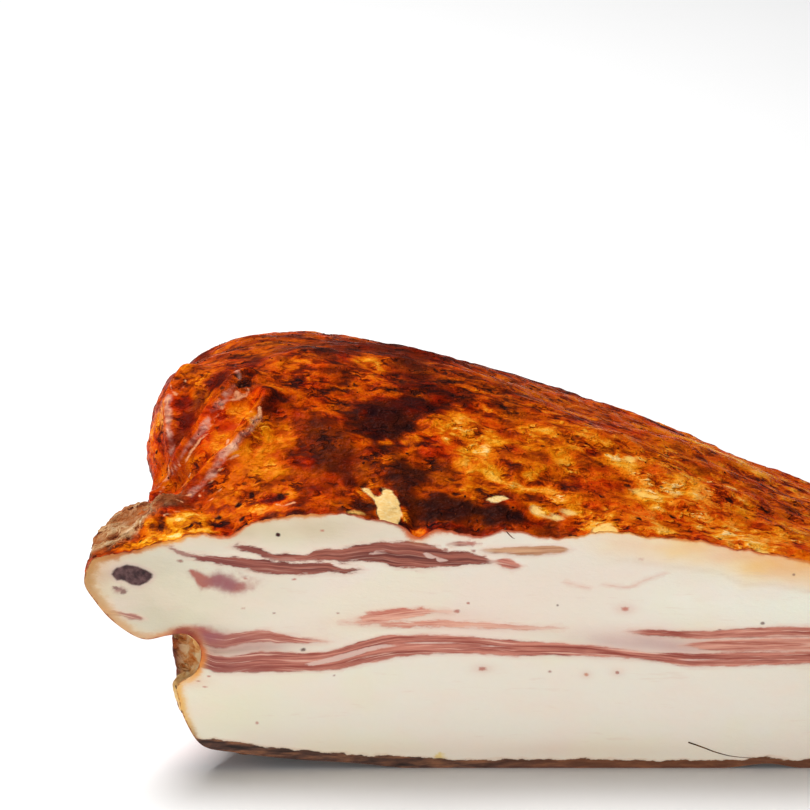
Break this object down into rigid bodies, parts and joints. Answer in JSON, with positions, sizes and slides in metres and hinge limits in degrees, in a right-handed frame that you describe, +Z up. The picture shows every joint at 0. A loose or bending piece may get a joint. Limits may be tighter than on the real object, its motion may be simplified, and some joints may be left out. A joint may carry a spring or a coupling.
{
  "type": "cured pork jowl",
  "caption": "Half of a dry-cured pork jowl with a flat cut face, thick white fat with thin lean streaks, folded spiced skin above and rind below.",
  "frame": {"origin": "centre of the bounding box on the plane it rests on", "axes": "+X along the cut face to the right as seen from the cut, +Y from the cut face to the rounded back, +Z up"},
  "size_m": [0.202, 0.11, 0.0821],
  "materials": {
    "jowl": "satin fat with rose lean streaks on the cut, oily brown and orange cured skin outside"
  },
  "bodies": {
    "root": {"cured_pork_jowl": "jowl"}
  },
  "joints": []
}
